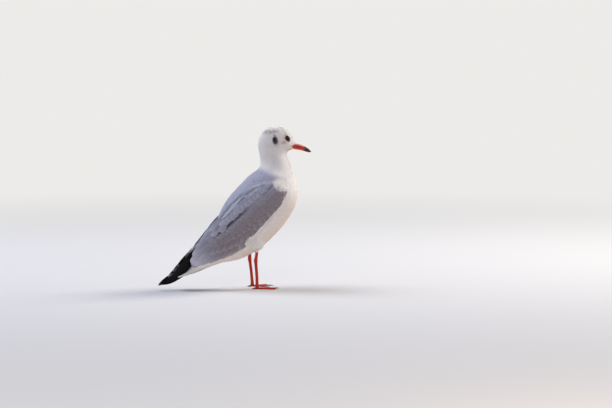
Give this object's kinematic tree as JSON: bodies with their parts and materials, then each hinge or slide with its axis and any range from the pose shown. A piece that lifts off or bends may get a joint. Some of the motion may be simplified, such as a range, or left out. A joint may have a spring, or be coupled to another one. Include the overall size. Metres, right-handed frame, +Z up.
{
  "type": "black-headed gull, winter plumage",
  "caption": "Life-size still model of a small gull standing upright with folded wings: white body, grey back, black wing tips, red bill and legs.",
  "frame": {"origin": "on the ground under the middle of the bird's bounding box", "axes": "+X the way the bird faces, +Y to the bird's left, +Z up"},
  "size_m": [0.2728, 0.1004, 0.2841],
  "materials": {
    "plumage_white": "matte",
    "plumage_grey": "matte",
    "plumage_black": "satin",
    "bill_horn": "satin",
    "leg_skin": "satin",
    "claw_horn": "satin",
    "eye": "gloss"
  },
  "bodies": {
    "root": {"head": "plumage_white", "neck": "plumage_white", "trunk": "plumage_white", "tail": "plumage_white", "wing_right": "plumage_grey", "wing_left": "plumage_grey", "primaries_right": "plumage_black", "primaries_left": "plumage_black", "bill_upper": "bill_horn", "bill_lower": "bill_horn", "eye_right": "eye", "eye_left": "eye", "leg_right": "leg_skin", "leg_left": "leg_skin", "foot_right": "leg_skin", "foot_left": "leg_skin", "claw_right_inner": "claw_horn", "claw_right_middle": "claw_horn", "claw_right_outer": "claw_horn", "claw_right_hind": "claw_horn", "claw_left_inner": "claw_horn", "claw_left_middle": "claw_horn", "claw_left_outer": "claw_horn", "claw_left_hind": "claw_horn"}
  },
  "joints": []
}
